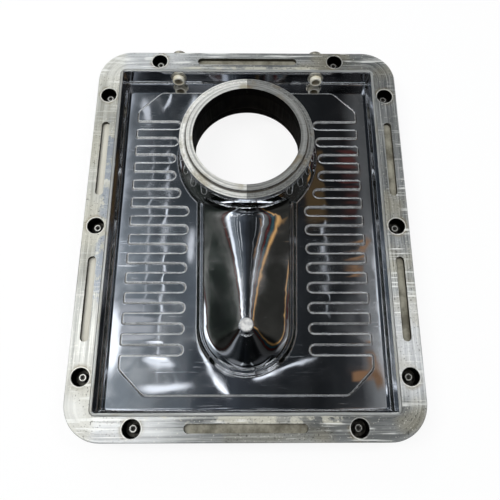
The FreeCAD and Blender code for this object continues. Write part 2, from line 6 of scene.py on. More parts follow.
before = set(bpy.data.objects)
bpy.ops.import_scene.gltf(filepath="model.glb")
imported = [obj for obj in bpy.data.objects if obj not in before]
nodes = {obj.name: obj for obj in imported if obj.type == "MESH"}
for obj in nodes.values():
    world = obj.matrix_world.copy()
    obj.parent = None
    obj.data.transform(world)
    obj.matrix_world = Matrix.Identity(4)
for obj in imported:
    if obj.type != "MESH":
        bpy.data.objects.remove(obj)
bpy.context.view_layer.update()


# Camera
# The mould lies on its back and is looked at from above its front edge, slightly turned, as a
# workshop snapshot would be taken with a wide hand-held lens.

CAMERA_PLACE = (0.00617, -0.27021, 0.75398)
CAMERA_PITCH = math.radians(73.01)
CAMERA_YAW = math.radians(2.17)
CAMERA_ROLL = math.radians(-2.13)
CAMERA_LENS = 34.331
CAMERA_SHIFT = (-0.01174, 0.01572)

ahead = Vector((math.sin(CAMERA_YAW) * math.cos(CAMERA_PITCH),
                math.cos(CAMERA_YAW) * math.cos(CAMERA_PITCH),
                -math.sin(CAMERA_PITCH)))
level_right = Vector((math.cos(CAMERA_YAW), -math.sin(CAMERA_YAW), 0))
level_down = ahead.cross(level_right)
right = math.cos(CAMERA_ROLL) * level_right + math.sin(CAMERA_ROLL) * level_down
down = math.cos(CAMERA_ROLL) * level_down - math.sin(CAMERA_ROLL) * level_right
camera_data = bpy.data.cameras.new("snapshot")
camera_data.lens = CAMERA_LENS
camera_data.sensor_width = 36.0
camera_data.shift_x, camera_data.shift_y = CAMERA_SHIFT
camera = bpy.data.objects.new("snapshot", camera_data)
orientation = Matrix((right, -down, -ahead)).transposed()
camera.matrix_world = Matrix.Translation(CAMERA_PLACE) @ orientation.to_4x4()
bpy.context.scene.collection.objects.link(camera)
bpy.context.scene.camera = camera
bpy.context.scene.view_settings.view_transform = "Standard"


# Studio
# A pale floor and soft light. The polished core mirrors the workshop it stands in, so a vault that
# only reflections see carries that room: slate roof, strip lights, and a few coloured things.

def paint(red, green, blue):
    """Linear colour from the three numbers of a paint chart, each up to 255."""
    def linear(value):
        value /= 255
        return value / 12.92 if value <= 0.04045 else ((value + 0.055) / 1.055) ** 2.4
    return (linear(red), linear(green), linear(blue), 1.0)


def feed(tree, socket, value):
    """Set a socket to a value, or link it to the output that gives it."""
    if isinstance(value, bpy.types.NodeSocket):
        tree.links.new(value, socket)
    else:
        socket.default_value = value


def add(tree, kind, inputs=None, **settings):
    """A node of this kind, with its inputs given as values or as the outputs that feed them."""
    made = tree.nodes.new(kind)
    for name, value in settings.items():
        setattr(made, name, value)
    for key, value in (inputs or {}).items():
        feed(tree, made.inputs[key], value)
    return made


def calc(tree, operation, first, second=0.0, third=0.0, clamp=False):
    """The result of one sum."""
    made = add(tree, "ShaderNodeMath", operation=operation, use_clamp=clamp)
    for socket, value in zip(made.inputs, (first, second, third)):
        feed(tree, socket, value)
    return made.outputs[0]


def times(tree, product, *others):
    """The product of all the values."""
    for other in others:
        product = calc(tree, "MULTIPLY", product, other)
    return product


def noise(tree, place, scale, detail, **more):
    """Value of a noise texture at this place."""
    inputs = {"Vector": place, "Scale": scale, "Detail": detail, **more}
    return add(tree, "ShaderNodeTexNoise", inputs).outputs[0]


def blend(tree, share, first, second, kind="MIX"):
    """Two colours mixed by a share of the second, held between none and all of it."""
    made = add(tree, "ShaderNodeMix", {0: share, 6: first, 7: second},
               data_type="RGBA", blend_type=kind, clamp_factor=True)
    return made.outputs[2]


def bands(tree, value, stops):
    """Colour or grey by value, through (place, colour) stops."""
    made = add(tree, "ShaderNodeValToRGB", {0: value})
    ramp = made.color_ramp
    while len(ramp.elements) < len(stops):
        ramp.elements.new(1.0)
    for element, (place, colour) in zip(ramp.elements, stops):
        element.position = place
        element.color = colour
    return made.outputs[0]


def rise(tree, value, low, high, start=0.0, end=1.0):
    """Smooth step of value from low to high."""
    made = add(tree, "ShaderNodeMapRange", {0: value, 1: low, 2: high, 3: start, 4: end},
               interpolation_type="SMOOTHSTEP")
    return made.outputs[0]


def empty_tree(block):
    block.use_nodes = True
    block.node_tree.nodes.clear()
    return block.node_tree


FLOOR_SIZE = 4.0
FLOOR_DROP = 0.0006
FLOOR_PALE = 0.88

floor_mesh = bpy.data.meshes.new("studio_floor")
half = FLOOR_SIZE / 2
plan = ((-half, -half), (half, -half), (half, half), (-half, half))
floor_mesh.from_pydata([(x, y, -FLOOR_DROP) for x, y in plan], [], [(0, 1, 2, 3)])
floor = bpy.data.objects.new("studio_floor", floor_mesh)
bpy.context.scene.collection.objects.link(floor)
floor_paint = bpy.data.materials.new("pale_floor")
tree = empty_tree(floor_paint)
path = add(tree, "ShaderNodeLightPath")
matte = add(tree, "ShaderNodeBsdfDiffuse", {"Color": (0.93, 0.93, 0.925, 1.0)})
white = add(tree, "ShaderNodeEmission", {"Color": (1.0, 1.0, 1.0, 1.0), "Strength": 1.0})
share = times(tree, path.outputs["Is Camera Ray"], FLOOR_PALE)
both = add(tree, "ShaderNodeMixShader", {0: share, 1: matte.outputs[0], 2: white.outputs[0]})
add(tree, "ShaderNodeOutputMaterial", {"Surface": both.outputs[0]})
floor_mesh.materials.append(floor_paint)

world = bpy.data.worlds.new("soft_studio")
bpy.context.scene.world = world
tree = empty_tree(world)
path = add(tree, "ShaderNodeLightPath")
seen = calc(tree, "MAXIMUM", path.outputs["Is Camera Ray"], path.outputs["Is Glossy Ray"])
seen = calc(tree, "MAXIMUM", seen, path.outputs["Is Transmission Ray"])
soft = add(tree, "ShaderNodeBackground", {"Color": (0.93, 0.96, 1.0, 1.0), "Strength": 0.5})
white = add(tree, "ShaderNodeBackground", {"Color": (1.0, 1.0, 1.0, 1.0), "Strength": 1.0})
both = add(tree, "ShaderNodeMixShader", {0: seen, 1: soft.outputs[0], 2: white.outputs[0]})
add(tree, "ShaderNodeOutputWorld", {"Surface": both.outputs[0]})


def softbox(name, place, aim, size, power, colour):
    light = bpy.data.lights.new(name, "AREA")
    light.shape = "RECTANGLE"
    light.size = size[0]
    light.size_y = size[1]
    light.energy = power
    light.color = colour
    lamp = bpy.data.objects.new(name, light)
    lamp.location = place
    lamp.rotation_euler = (Vector(aim) - Vector(place)).to_track_quat("-Z", "Y").to_euler()
    bpy.context.scene.collection.objects.link(lamp)


softbox("window_side", (-0.92, 0.08, 2.0), (-0.2, -0.05, 0.0), (0.5, 1.1), 22.0,
        (1.0, 0.99, 0.965))
softbox("far_side", (0.98, 0.22, 2.0), (0.2, -0.1, 0.0), (0.35, 0.6), 9.0, (0.96, 0.98, 1.0))
softbox("rear_side", (-0.75, 1.95, 1.9), (-0.2, 0.25, 0.0), (0.6, 0.5), 7.0, (0.97, 0.985, 1.0))

VAULT_R = 1.5
VAULT_FRONT = -1.9
VAULT_REAR = 2.6
VAULT_PANELS = 64

points = []
for y in (VAULT_FRONT, VAULT_REAR):
    for i in range(VAULT_PANELS + 1):
        around = math.pi * i / VAULT_PANELS
        points.append((VAULT_R * math.cos(around), y, VAULT_R * math.sin(around)))
rim = VAULT_PANELS + 1
faces = [(i, i + 1, rim + i + 1, rim + i) for i in range(VAULT_PANELS)]
faces += [tuple(range(rim)), tuple(reversed(range(rim, 2 * rim)))]
vault_mesh = bpy.data.meshes.new("workshop_vault")
vault_mesh.from_pydata(points, [], faces)
vault = bpy.data.objects.new("workshop_vault", vault_mesh)
bpy.context.scene.collection.objects.link(vault)
for ray in ("camera", "diffuse", "transmission", "volume_scatter", "shadow"):
    setattr(vault, "visible_" + ray, False)

# Round the vault from the left horizon, 0, over the top, 0.5, to the right horizon, 1.
WORKSHOP = [
    (0.00, (0.020, 0.022, 0.020, 1)), (0.16, (0.024, 0.028, 0.027, 1)),
    (0.19, (0.14, 0.145, 0.14, 1)), (0.205, (0.020, 0.022, 0.022, 1)),
    (0.265, (0.022, 0.027, 0.025, 1)), (0.285, (0.035, 0.045, 0.038, 1)),
    (0.300, (0.12, 0.13, 0.12, 1)), (0.318, (0.16, 0.165, 0.155, 1)),
    (0.328, (0.06, 0.045, 0.045, 1)), (0.334, (0.16, 0.06, 0.05, 1)),
    (0.340, (0.05, 0.05, 0.052, 1)), (0.346, (0.25, 0.25, 0.25, 1)),
    (0.352, (2.0, 2.1, 2.25, 1)), (0.366, (1.8, 1.95, 2.2, 1)),
    (0.372, (0.40, 0.45, 0.50, 1)), (0.395, (0.19, 0.220, 0.25, 1)),
    (0.425, (0.145, 0.170, 0.195, 1)), (0.460, (0.082, 0.096, 0.118, 1)),
    (0.490, (0.052, 0.060, 0.072, 1)), (0.530, (0.030, 0.034, 0.038, 1)),
    (0.585, (0.027, 0.030, 0.033, 1)), (0.606, (0.044, 0.046, 0.050, 1)),
    (0.620, (0.28, 0.29, 0.30, 1)), (0.645, (0.17, 0.175, 0.175, 1)),
    (0.652, (0.030, 0.028, 0.028, 1)), (0.658, (0.17, 0.022, 0.018, 1)),
    (0.664, (0.034, 0.034, 0.036, 1)), (0.671, (0.045, 0.15, 0.19, 1)),
    (0.677, (0.034, 0.034, 0.034, 1)), (0.684, (1.05, 0.60, 0.23, 1)),
    (0.690, (0.040, 0.040, 0.036, 1)), (1.00, (0.018, 0.021, 0.018, 1))]


def group(name, inputs, outputs):
    """An empty shader group, with its input and output nodes."""
    tree = bpy.data.node_groups.new(name, "ShaderNodeTree")
    for key, kind, value in inputs:
        socket = tree.interface.new_socket(name=key, in_out="INPUT", socket_type=kind)
        if value is not None:
            socket.default_value = value
    for key, kind in outputs:
        tree.interface.new_socket(name=key, in_out="OUTPUT", socket_type=kind)
    return tree, tree.nodes.new("NodeGroupInput"), tree.nodes.new("NodeGroupOutput")


def use(tree, made_group, inputs):
    """The first output of a group placed in the tree."""
    placed = tree.nodes.new("ShaderNodeGroup")
    placed.node_tree = made_group
    for key, value in inputs.items():
        feed(tree, placed.inputs[key], value)
    return placed.outputs[0]


# A soft-edged patch, seen in plan: one inside an ellipse, or a rounder box, and zero outside.
soft_patch, given, result = group("soft_patch", [("Place", "NodeSocketVector", None),
                                                 ("Middle", "NodeSocketVector", None),
                                                 ("Length", "NodeSocketFloat", 0.1),
                                                 ("Width", "NodeSocketFloat", 0.02),
                                                 ("Turn", "NodeSocketFloat", 0.0),
                                                 ("Round", "NodeSocketFloat", 2.0)],
                                  [("Mask", "NodeSocketFloat")])
moved = add(soft_patch, "ShaderNodeVectorMath",
            {0: given.outputs["Place"], 1: given.outputs["Middle"]}, operation="SUBTRACT")
laid = add(soft_patch, "ShaderNodeVectorRotate",
           {"Vector": moved.outputs[0], "Angle": given.outputs["Turn"]}, rotation_type="Z_AXIS")
parts = add(soft_patch, "ShaderNodeSeparateXYZ", {0: laid.outputs[0]})
powers = []
for axis, size in (("X", "Length"), ("Y", "Width")):
    off = calc(soft_patch, "DIVIDE", parts.outputs[axis], given.outputs[size])
    off = calc(soft_patch, "ABSOLUTE", off)
    powers.append(calc(soft_patch, "POWER", off, given.outputs["Round"]))
root = calc(soft_patch, "DIVIDE", 1.0, given.outputs["Round"])
reach = calc(soft_patch, "POWER", calc(soft_patch, "ADD", powers[0], powers[1]), root)
soft_patch.links.new(rise(soft_patch, reach, 1.25, 0.65), result.inputs["Mask"])


def patch_mask(tree, place, patch, roundness=2.0):
    """Mask of a patch given by its middle, half length, half width and turn in degrees."""
    middle_x, middle_y, length, width, turned_by = patch
    return use(tree, soft_patch, {"Place": place, "Middle": (middle_x, middle_y, 0.0),
                                  "Length": length, "Width": width,
                                  "Turn": math.radians(-turned_by), "Round": roundness})


# Lamps, roof windows and bright edges overhead: middle, half length, half width, turn, and light.
LIGHT_PATCHES = [
    (-0.530, 0.070, 0.110, 0.100, 0, 0.56), (-0.395, -0.095, 0.065, 0.026, -10, 1.3),
    (-0.400, -0.078, 0.045, 0.009, -4, 2.0), (-0.592, 0.000, 0.026, 0.150, 0, 1.8),
    (-0.365, -0.205, 0.110, 0.020, 6, 1.5), (-0.310, 1.225, 0.095, 0.007, 69, 1.3),
    (-0.424, 1.231, 0.070, 0.005, 75, 1.2), (-0.527, 1.150, 0.070, 0.020, 102, 0.9),
    (-0.400, 0.400, 0.0045, 0.560, 0, 1.6), (-0.478, 0.560, 0.0035, 0.420, 0, 0.9),
    (-0.231, 0.030, 0.080, 0.006, -82, 1.6), (-0.196, -0.094, 0.074, 0.009, -63, 2.2),
    (-0.130, -0.190, 0.070, 0.014, -50, 2.6), (0.078, -0.150, 0.062, 0.013, 19, 2.0),
    (0.200, -0.105, 0.100, 0.006, 19, 1.3), (-0.278, 0.455, 0.016, 0.085, 0, 1.0),
    (0.352, 0.420, 0.006, 0.300, 0, 0.8), (0.590, 0.140, 0.013, 0.420, 0, 1.1),
    (0.598, 0.900, 0.012, 0.420, 0, 0.35), (-0.030, -0.560, 0.420, 0.014, 6, 0.9),
    (-0.240, -0.800, 0.230, 0.160, 0, 0.24), (0.300, -0.800, 0.260, 0.160, 0, 0.055),
    (-0.105, -0.800, 0.024, 0.150, 0, 0.8), (0.112, -0.800, 0.012, 0.140, 0, 0.7)]

# Boards and crates that lean beyond the right edge, listed like the lights but with a colour.
BOARDS = [
    (0.490, 0.880, 0.036, 0.080, 12, (0.085, 0.030, 0.028, 1.0)),
    (0.490, 0.660, 0.028, 0.060, -6, (0.060, 0.026, 0.024, 1.0)),
    (0.520, 0.400, 0.078, 0.018, 58, (0.32, 0.19, 0.11, 1.0)),
    (0.490, 0.320, 0.040, 0.013, 12, (0.24, 0.14, 0.08, 1.0)),
    (0.490, -0.155, 0.042, 0.024, 4, (0.32, 0.18, 0.10, 1.0)),
    (0.545, -0.130, 0.018, 0.080, 14, (0.24, 0.14, 0.08, 1.0)),
    (0.320, 0.760, 0.050, 0.200, 4, (0.085, 0.058, 0.030, 1.0))]
BOARD_ROUNDNESS = 8.0

vault_paint = bpy.data.materials.new("workshop_roof")
tree = empty_tree(vault_paint)
place = add(tree, "ShaderNodeTexCoord").outputs["Object"]
axes = add(tree, "ShaderNodeSeparateXYZ", {0: place})
x, y, z = axes.outputs
angle = calc(tree, "ARCTAN2", x, z)
round_share = calc(tree, "MULTIPLY_ADD", angle, 1 / math.pi, 0.5)
waver = noise(tree, place, 1.1, 2.0)
shifted = calc(tree, "MULTIPLY_ADD", waver, 0.03, round_share)
shifted = calc(tree, "SUBTRACT", shifted, 0.015)
room = bands(tree, shifted, WORKSHOP)
stretched = add(tree, "ShaderNodeMapping", {"Vector": place, "Scale": (5.0, 0.9, 5.0)})
patchy = noise(tree, stretched.outputs[0], 1.0, 4.0)
shade = add(tree, "ShaderNodeMapRange", {0: patchy, 1: 0.3, 2: 0.75, 3: 0.55, 4: 1.5})
room = blend(tree, 1.0, room, shade.outputs[0], "MULTIPLY")
# The light falls off towards the rear of the room, left of its middle and at its front.
near_left = times(tree, rise(tree, x, -0.33, -0.22), rise(tree, y, 0.10, -0.04),
                  rise(tree, x, -0.05, -0.13))
fade = times(tree, rise(tree, y, 0.30, 0.75, 1.0, 0.42),
             calc(tree, "MULTIPLY_ADD", near_left, -0.55, 1.0),
             rise(tree, y, -0.50, -0.32, 0.14, 1.0))
room = blend(tree, 1.0, room, fade, "MULTIPLY")
for *patch, shine in LIGHT_PATCHES:
    light = (shine * 0.93, shine * 0.98, shine * 1.06, 1.0)
    room = blend(tree, patch_mask(tree, place, patch), room, light)
for *patch, wood in BOARDS:
    room = blend(tree, patch_mask(tree, place, patch, BOARD_ROUNDNESS), room, wood)
# Bright doorways across both ends, seen only in rounded edges.
rear_door = times(tree, rise(tree, y, 1.66, 1.72), rise(tree, y, 2.12, 2.06))
front_door = times(tree, rise(tree, y, -1.48, -1.52), rise(tree, y, -1.86, -1.82))
lit = times(tree, calc(tree, "MAXIMUM", rear_door, front_door), rise(tree, patchy, 0.36, 0.46))
room = blend(tree, lit, room, (3.4, 3.5, 3.6, 1.0))
glow = add(tree, "ShaderNodeEmission", {"Color": room, "Strength": 1.0})
add(tree, "ShaderNodeOutputMaterial", {"Surface": glow.outputs[0]})
vault_mesh.materials.append(vault_paint)


# Parting frame
# One rectangular ring of aluminium plate, milled and then worn: handled, scraped clean of old
# powder, and stained where it met the hot part, with painted sheen and shade along its bands.
# Its screws sit deep in counterbores painted near black as shade.

def span(tree, across, along):
    """Length of the straight line that goes this far across and this far along."""
    return calc(tree, "SQRT", calc(tree, "MULTIPLY_ADD", across, across,
                                   times(tree, along, along)))


# Bright wear where an edge is rounded over by handling.
edge_wear, given, result = group("edge_wear", [("Width", "NodeSocketFloat", 0.001),
                                               ("Amount", "NodeSocketFloat", 1.0),
                                               ("Place", "NodeSocketVector", None)],
                                 [("Mask", "NodeSocketFloat")])
rounded = add(edge_wear, "ShaderNodeBevel", {"Radius": given.outputs["Width"]}, samples=4)
plain = add(edge_wear, "ShaderNodeNewGeometry")
alike = add(edge_wear, "ShaderNodeVectorMath", {0: rounded.outputs[0], 1: plain.outputs["Normal"]},
            operation="DOT_PRODUCT")
bent = rise(edge_wear, alike.outputs["Value"], 0.995, 0.86)
gaps = noise(edge_wear, given.outputs["Place"], 90.0, 3.0)
bent = times(edge_wear, bent, rise(edge_wear, gaps, 0.30, 0.62))
bent = calc(edge_wear, "MULTIPLY", bent, given.outputs["Amount"], clamp=True)
edge_wear.links.new(bent, result.inputs["Mask"])

# Fine straight scratches in three directions, broken up so that none runs on for ever.
SCRATCH_TURNS = (8.0, 64.0, 131.0)
SCRATCH_STRETCH = (0.16, 5.0, 1.0)
scratches, given, result = group("scratches", [("Place", "NodeSocketVector", None),
                                               ("Fineness", "NodeSocketFloat", 60.0),
                                               ("Amount", "NodeSocketFloat", 0.5)],
                                 [("Mask", "NodeSocketFloat")])
total = None
limit = calc(scratches, "MULTIPLY_ADD", given.outputs["Amount"], -0.12, 0.74)
for turned_by in SCRATCH_TURNS:
    laid = add(scratches, "ShaderNodeMapping",
               {"Vector": given.outputs["Place"], "Rotation": (0.0, 0.0, math.radians(turned_by)),
                "Scale": SCRATCH_STRETCH})
    fibre = noise(scratches, laid.outputs[0], given.outputs["Fineness"], 2.0, Distortion=0.4)
    over = calc(scratches, "SUBTRACT", fibre, limit)
    over = calc(scratches, "MULTIPLY", over, 30.0, clamp=True)
    total = over if total is None else calc(scratches, "MAXIMUM", total, over)
broken = noise(scratches, given.outputs["Place"], 26.0, 2.0)
total = times(scratches, total, rise(scratches, broken, 0.42, 0.60))
scratches.links.new(total, result.inputs["Mask"])

# Distance in from the outer edge of the mould, which tool marks follow round the corners.
OUTER_R = 0.055
CORNER_X = 0.201
CORNER_Y = 0.26775
outline, given, result = group("outline_distance", [("Place", "NodeSocketVector", None)],
                               [("Distance", "NodeSocketFloat")])
axes = add(outline, "ShaderNodeSeparateXYZ", {0: given.outputs["Place"]})
across = calc(outline, "SUBTRACT", calc(outline, "ABSOLUTE", axes.outputs["X"]), CORNER_X)
along = calc(outline, "SUBTRACT", calc(outline, "ABSOLUTE", axes.outputs["Y"]), CORNER_Y)
corner = span(outline, calc(outline, "MAXIMUM", across, 0.0), calc(outline, "MAXIMUM", along, 0.0))
inner = calc(outline, "MINIMUM", calc(outline, "MAXIMUM", across, along), 0.0)
depth = calc(outline, "SUBTRACT", OUTER_R, calc(outline, "ADD", corner, inner))
outline.links.new(depth, result.inputs["Distance"])

FRAME_TOP = 0.054
BELOW_TOP = FRAME_TOP - 0.0006
HOLE_R = 0.0135
# Painted sheen and shade along the bands, where the lamps catch them or not: middle, half length,
# half width, turn, and amount.
FRAME_SHEEN_AND_SHADE = [
    (-0.200, -0.300, 0.120, 0.050, 0, 0.42), (-0.240, -0.200, 0.060, 0.120, 0, 0.30),
    (-0.235, 0.160, 0.050, 0.060, 0, -0.34), (-0.190, 0.300, 0.090, 0.060, 0, 0.30),
    (0.010, -0.300, 0.110, 0.050, 0, -0.34), (0.175, -0.300, 0.100, 0.040, 0, -0.55),
    (0.240, -0.190, 0.050, 0.085, 0, 0.42), (0.245, 0.060, 0.050, 0.150, 0, -0.30),
    (0.060, 0.305, 0.120, 0.040, 0, -0.40), (0.210, 0.285, 0.090, 0.070, 0, -0.45)]
SHEEN_ROUNDNESS = 1.6
# The screws right of the middle. Those on the left mirror them.
SCREW_SPOTS = [(0.153, 0.30375), (0.1585, -0.30375), (0.236, 0.234), (0.236, -0.004),
               (0.236, -0.234)]


def screw_distance(tree, place):
    """Distance in plan from the nearest screw of the frame."""
    axes = add(tree, "ShaderNodeSeparateXYZ", {0: place})
    nearest = 1.0
    for spot_x, spot_y in SCREW_SPOTS:
        off_x = calc(tree, "SUBTRACT", calc(tree, "ABSOLUTE", axes.outputs["X"]), spot_x)
        off_y = calc(tree, "SUBTRACT", axes.outputs["Y"], spot_y)
        nearest = calc(tree, "MINIMUM", nearest, span(tree, off_x, off_y))
    return nearest


def surface(tree, colour, roughness, metallic, height, normal=None):
    """The finished surface, with its bump, on the material's output."""
    bump = {"Height": height, "Strength": 1.0, "Distance": 1.0}
    if normal is not None:
        bump["Normal"] = normal
    relief = add(tree, "ShaderNodeBump", bump)
    body = add(tree, "ShaderNodeBsdfPrincipled",
               {"Base Color": colour, "Roughness": roughness, "Metallic": metallic,
                "Normal": relief.outputs[0]})
    add(tree, "ShaderNodeOutputMaterial", {"Surface": body.outputs[0]})


frame_metal = bpy.data.materials.new("worn_frame_aluminium")
tree = empty_tree(frame_metal)
place = add(tree, "ShaderNodeTexCoord").outputs["Object"]
axes = add(tree, "ShaderNodeSeparateXYZ", {0: place})
x, y, z = axes.outputs
true_normal = add(tree, "ShaderNodeNewGeometry").outputs["True Normal"]
up = add(tree, "ShaderNodeSeparateXYZ", {0: true_normal}).outputs["Z"]
edge = use(tree, outline, {"Place": place})
on_top = rise(tree, z, FRAME_TOP - 0.0016, FRAME_TOP - 0.0004)

# Marks of the cutter and of scraping, drawn out along the bands.
track = add(tree, "ShaderNodeCombineXYZ", {0: times(tree, edge, 420.0), 1: times(tree, x, 9.0),
                                           2: times(tree, y, 9.0)})
lines = noise(tree, track.outputs[0], 1.0, 5.0, Roughness=0.62)
wide_track = add(tree, "ShaderNodeCombineXYZ", {0: times(tree, edge, 95.0), 1: times(tree, x, 7.0),
                                                2: times(tree, y, 7.0)})
streaks = noise(tree, wide_track.outputs[0], 1.0, 3.0)
blotch = noise(tree, place, 34.0, 7.0, Roughness=0.66)
cloud = noise(tree, place, 11.0, 3.0)
speck = noise(tree, place, 420.0, 1.0)

grey = blend(tree, rise(tree, streaks, 0.32, 0.70), paint(112, 115, 116), paint(170, 173, 173))
grey = blend(tree, rise(tree, lines, 0.45, 0.75), grey, paint(212, 214, 210))
grey = blend(tree, rise(tree, lines, 0.46, 0.28), grey, paint(80, 82, 81))
# Painted sheen and shade in patches over the bands, with a random tone from cloud noise.
tone = 0.0
for *patch, amount in FRAME_SHEEN_AND_SHADE:
    mask = patch_mask(tree, place, patch, SHEEN_ROUNDNESS)
    tone = calc(tree, "MULTIPLY_ADD", mask, amount, tone)
tone = calc(tree, "MULTIPLY_ADD", calc(tree, "SUBTRACT", cloud, 0.5), 0.9, tone)
grey = blend(tree, times(tree, tone, -1.0), grey, paint(66, 68, 66))
grey = blend(tree, tone, grey, paint(240, 242, 244))
# Old powder baked on: beige over the left band and along the rear and front bands' inner edges.
left_band = rise(tree, x, -0.205, -0.222)
bare = times(tree, rise(tree, edge, 0.020, 0.028), rise(tree, blotch, 0.49, 0.53),
             rise(tree, y, 0.20, 0.15), rise(tree, y, -0.17, -0.10))
baked = times(tree, left_band, calc(tree, "MULTIPLY_ADD", bare, -0.85, 1.0),
              rise(tree, cloud, 0.30, 0.62, 0.30, 0.80))
ragged = calc(tree, "MULTIPLY_ADD", blotch, 1.2, times(tree, cloud, 0.5))
off_middle = calc(tree, "ABSOLUTE", calc(tree, "SUBTRACT", x, 0.005))
baked_rear = times(tree, rise(tree, y, 0.2795, 0.2835), rise(tree, y, 0.2945, 0.2905),
                   rise(tree, ragged, 0.80, 0.88), rise(tree, off_middle, 0.13, 0.10))
baked_front = times(tree, rise(tree, y, -0.2845, -0.2880), rise(tree, y, -0.3010, -0.2960),
                    rise(tree, calc(tree, "ABSOLUTE", x), 0.15, 0.13),
                    rise(tree, ragged, 0.86, 0.92))
baked = calc(tree, "MAXIMUM", baked, calc(tree, "MAXIMUM", baked_rear, baked_front))
grime = times(tree, rise(tree, speck, 0.36, 0.30), rise(tree, cloud, 0.46, 0.58), on_top)
right_side = rise(tree, x, -0.02, 0.16)
stain = times(tree, rise(tree, cloud, 0.50, 0.66),
              calc(tree, "MULTIPLY_ADD", right_side, 0.22, 0.22))
colour = blend(tree, stain, grey, paint(150, 143, 118))
colour = blend(tree, times(tree, baked, 0.62), colour, paint(200, 197, 180))
colour = blend(tree, times(tree, bare, left_band, 0.75), colour, paint(138, 146, 156))
colour = blend(tree, times(tree, grime, 0.7), colour, paint(46, 44, 38))
# Deep screw holes and the blind pockets: painted shade in the holes and on the pocket walls, and
# dirt on the pocket floors.
nearest = screw_distance(tree, place)
sunk = calc(tree, "LESS_THAN", z, BELOW_TOP)
in_hole = times(tree, calc(tree, "LESS_THAN", nearest, HOLE_R + 0.00005), sunk)
hole_stain = times(tree, rise(tree, nearest, 0.021, HOLE_R), rise(tree, blotch, 0.40, 0.60))
colour = blend(tree, times(tree, hole_stain, 0.7), colour, paint(120, 108, 80))
on_band = times(tree, calc(tree, "GREATER_THAN", edge, 0.004), calc(tree, "LESS_THAN", edge, 0.0365))
in_pocket = times(tree, sunk, on_band, calc(tree, "SUBTRACT", 1.0, in_hole))
pocket_floor = times(tree, in_pocket, calc(tree, "GREATER_THAN", up, 0.7))
floor_dirt_and_highlight = blend(tree, rise(tree, blotch, 0.35, 0.62), paint(96, 92, 78), paint(150, 147, 132))
# Pocket floors on the left band are painted paler, a painted highlight over the dirt.
floor_dirt_and_highlight = blend(tree, times(tree, left_band, 0.75), floor_dirt_and_highlight, paint(226, 223, 210))
hole_shade = blend(tree, rise(tree, cloud, 0.4, 0.6), paint(6, 6, 5), paint(18, 17, 13))
# Painted shade: the pocket walls dark, the screw holes near black.
colour = blend(tree, in_pocket, colour, paint(52, 48, 38))
colour = blend(tree, pocket_floor, colour, floor_dirt_and_highlight)
colour = blend(tree, in_hole, colour, hole_shade)
# The powder on the left band hides most of the scratches.
spared = times(tree, left_band, rise(tree, y, -0.26, -0.22), rise(tree, y, 0.24, 0.18))
scraped = times(tree, use(tree, scratches, {"Place": place, "Fineness": 38.0, "Amount": 1.0}),
                on_top, calc(tree, "MULTIPLY_ADD", spared, -0.7, 1.0))
colour = blend(tree, times(tree, scraped, 0.8), colour, paint(235, 236, 232))
# Painted highlight on the chamfered rims of the screw holes.
hole_rim_highlight = times(tree, rise(tree, nearest, HOLE_R + 0.0016, HOLE_R + 0.0008),
                 calc(tree, "GREATER_THAN", nearest, HOLE_R - 0.00005), on_top,
                 rise(tree, blotch, 0.38, 0.56, 0.10, 0.8))
colour = blend(tree, hole_rim_highlight, colour, paint(236, 236, 230))
flecks = times(tree, rise(tree, speck, 0.67, 0.73), on_top, 0.5)
colour = blend(tree, flecks, colour, paint(228, 226, 214))
worn = times(tree, use(tree, edge_wear, {"Width": 0.0012, "Amount": 0.75, "Place": place}),
             calc(tree, "GREATER_THAN", z, FRAME_TOP - 0.004))
colour = blend(tree, worn, colour, paint(214, 215, 210))

dull = calc(tree, "MAXIMUM", times(tree, baked, 0.8), calc(tree, "MAXIMUM", in_pocket, in_hole))
roughness = rise(tree, lines, 0.3, 0.7, 0.50, 0.34)
roughness = calc(tree, "MULTIPLY_ADD", dull, 0.22, roughness, clamp=True)
metallic = calc(tree, "SUBTRACT", 0.62, times(tree, dull, 0.55))
metallic = calc(tree, "MAXIMUM", metallic, in_hole)
height = calc(tree, "MULTIPLY_ADD", scraped, -0.00006, times(tree, lines, 0.00006))
height = calc(tree, "MULTIPLY_ADD", blotch, 0.00008, height)
surface(tree, colour, roughness, metallic, height)


def finish_with(node, material):
    nodes[node].data.materials.clear()
    nodes[node].data.materials.append(material)


finish_with("parting_frame", frame_metal)


# Mould shell
# The core half of the mould: one block of aluminium with a hand-polished tray, ribbed plateau and
# bowl, left as milled round its flange and back. Polishing left it slightly wavy and smeared.

CAVITY_HALF_X = 0.2151
CAVITY_HALF_Y = 0.2826
FLANGE_TOP = 0.018
TRAY_FLOOR = 0.023
PLATEAU_TOP = 0.026
NECK_Y = 0.1315
NECK_BORE_R = 0.0912
TOOTH_PITCH = 0.0322
RIM_R = 0.0030
PLATEAU_WAVE = 0.00016
CORE_WAVE = 0.00009
TOOTH_DOME = 0.00015

shell_metal = bpy.data.materials.new("polished_core_aluminium")
tree = empty_tree(shell_metal)
place = add(tree, "ShaderNodeTexCoord").outputs["Object"]
axes = add(tree, "ShaderNodeSeparateXYZ", {0: place})
x, y, z = axes.outputs
across = calc(tree, "ABSOLUTE", x)
inside = times(tree, calc(tree, "LESS_THAN", across, CAVITY_HALF_X),
               calc(tree, "LESS_THAN", calc(tree, "ABSOLUTE", y), CAVITY_HALF_Y))
above = calc(tree, "GREATER_THAN", z, FLANGE_TOP + 0.001)
neck_reach = span(tree, x, calc(tree, "SUBTRACT", y, NECK_Y))
in_bore = calc(tree, "LESS_THAN", neck_reach, NECK_BORE_R)
polished = times(tree, inside, above, calc(tree, "SUBTRACT", 1.0, in_bore))
unpolished = calc(tree, "SUBTRACT", 1.0, polished)
smear = noise(tree, place, 22.0, 5.0, Distortion=0.8)
fine = noise(tree, place, 260.0, 3.0)
edge = use(tree, outline, {"Place": place})
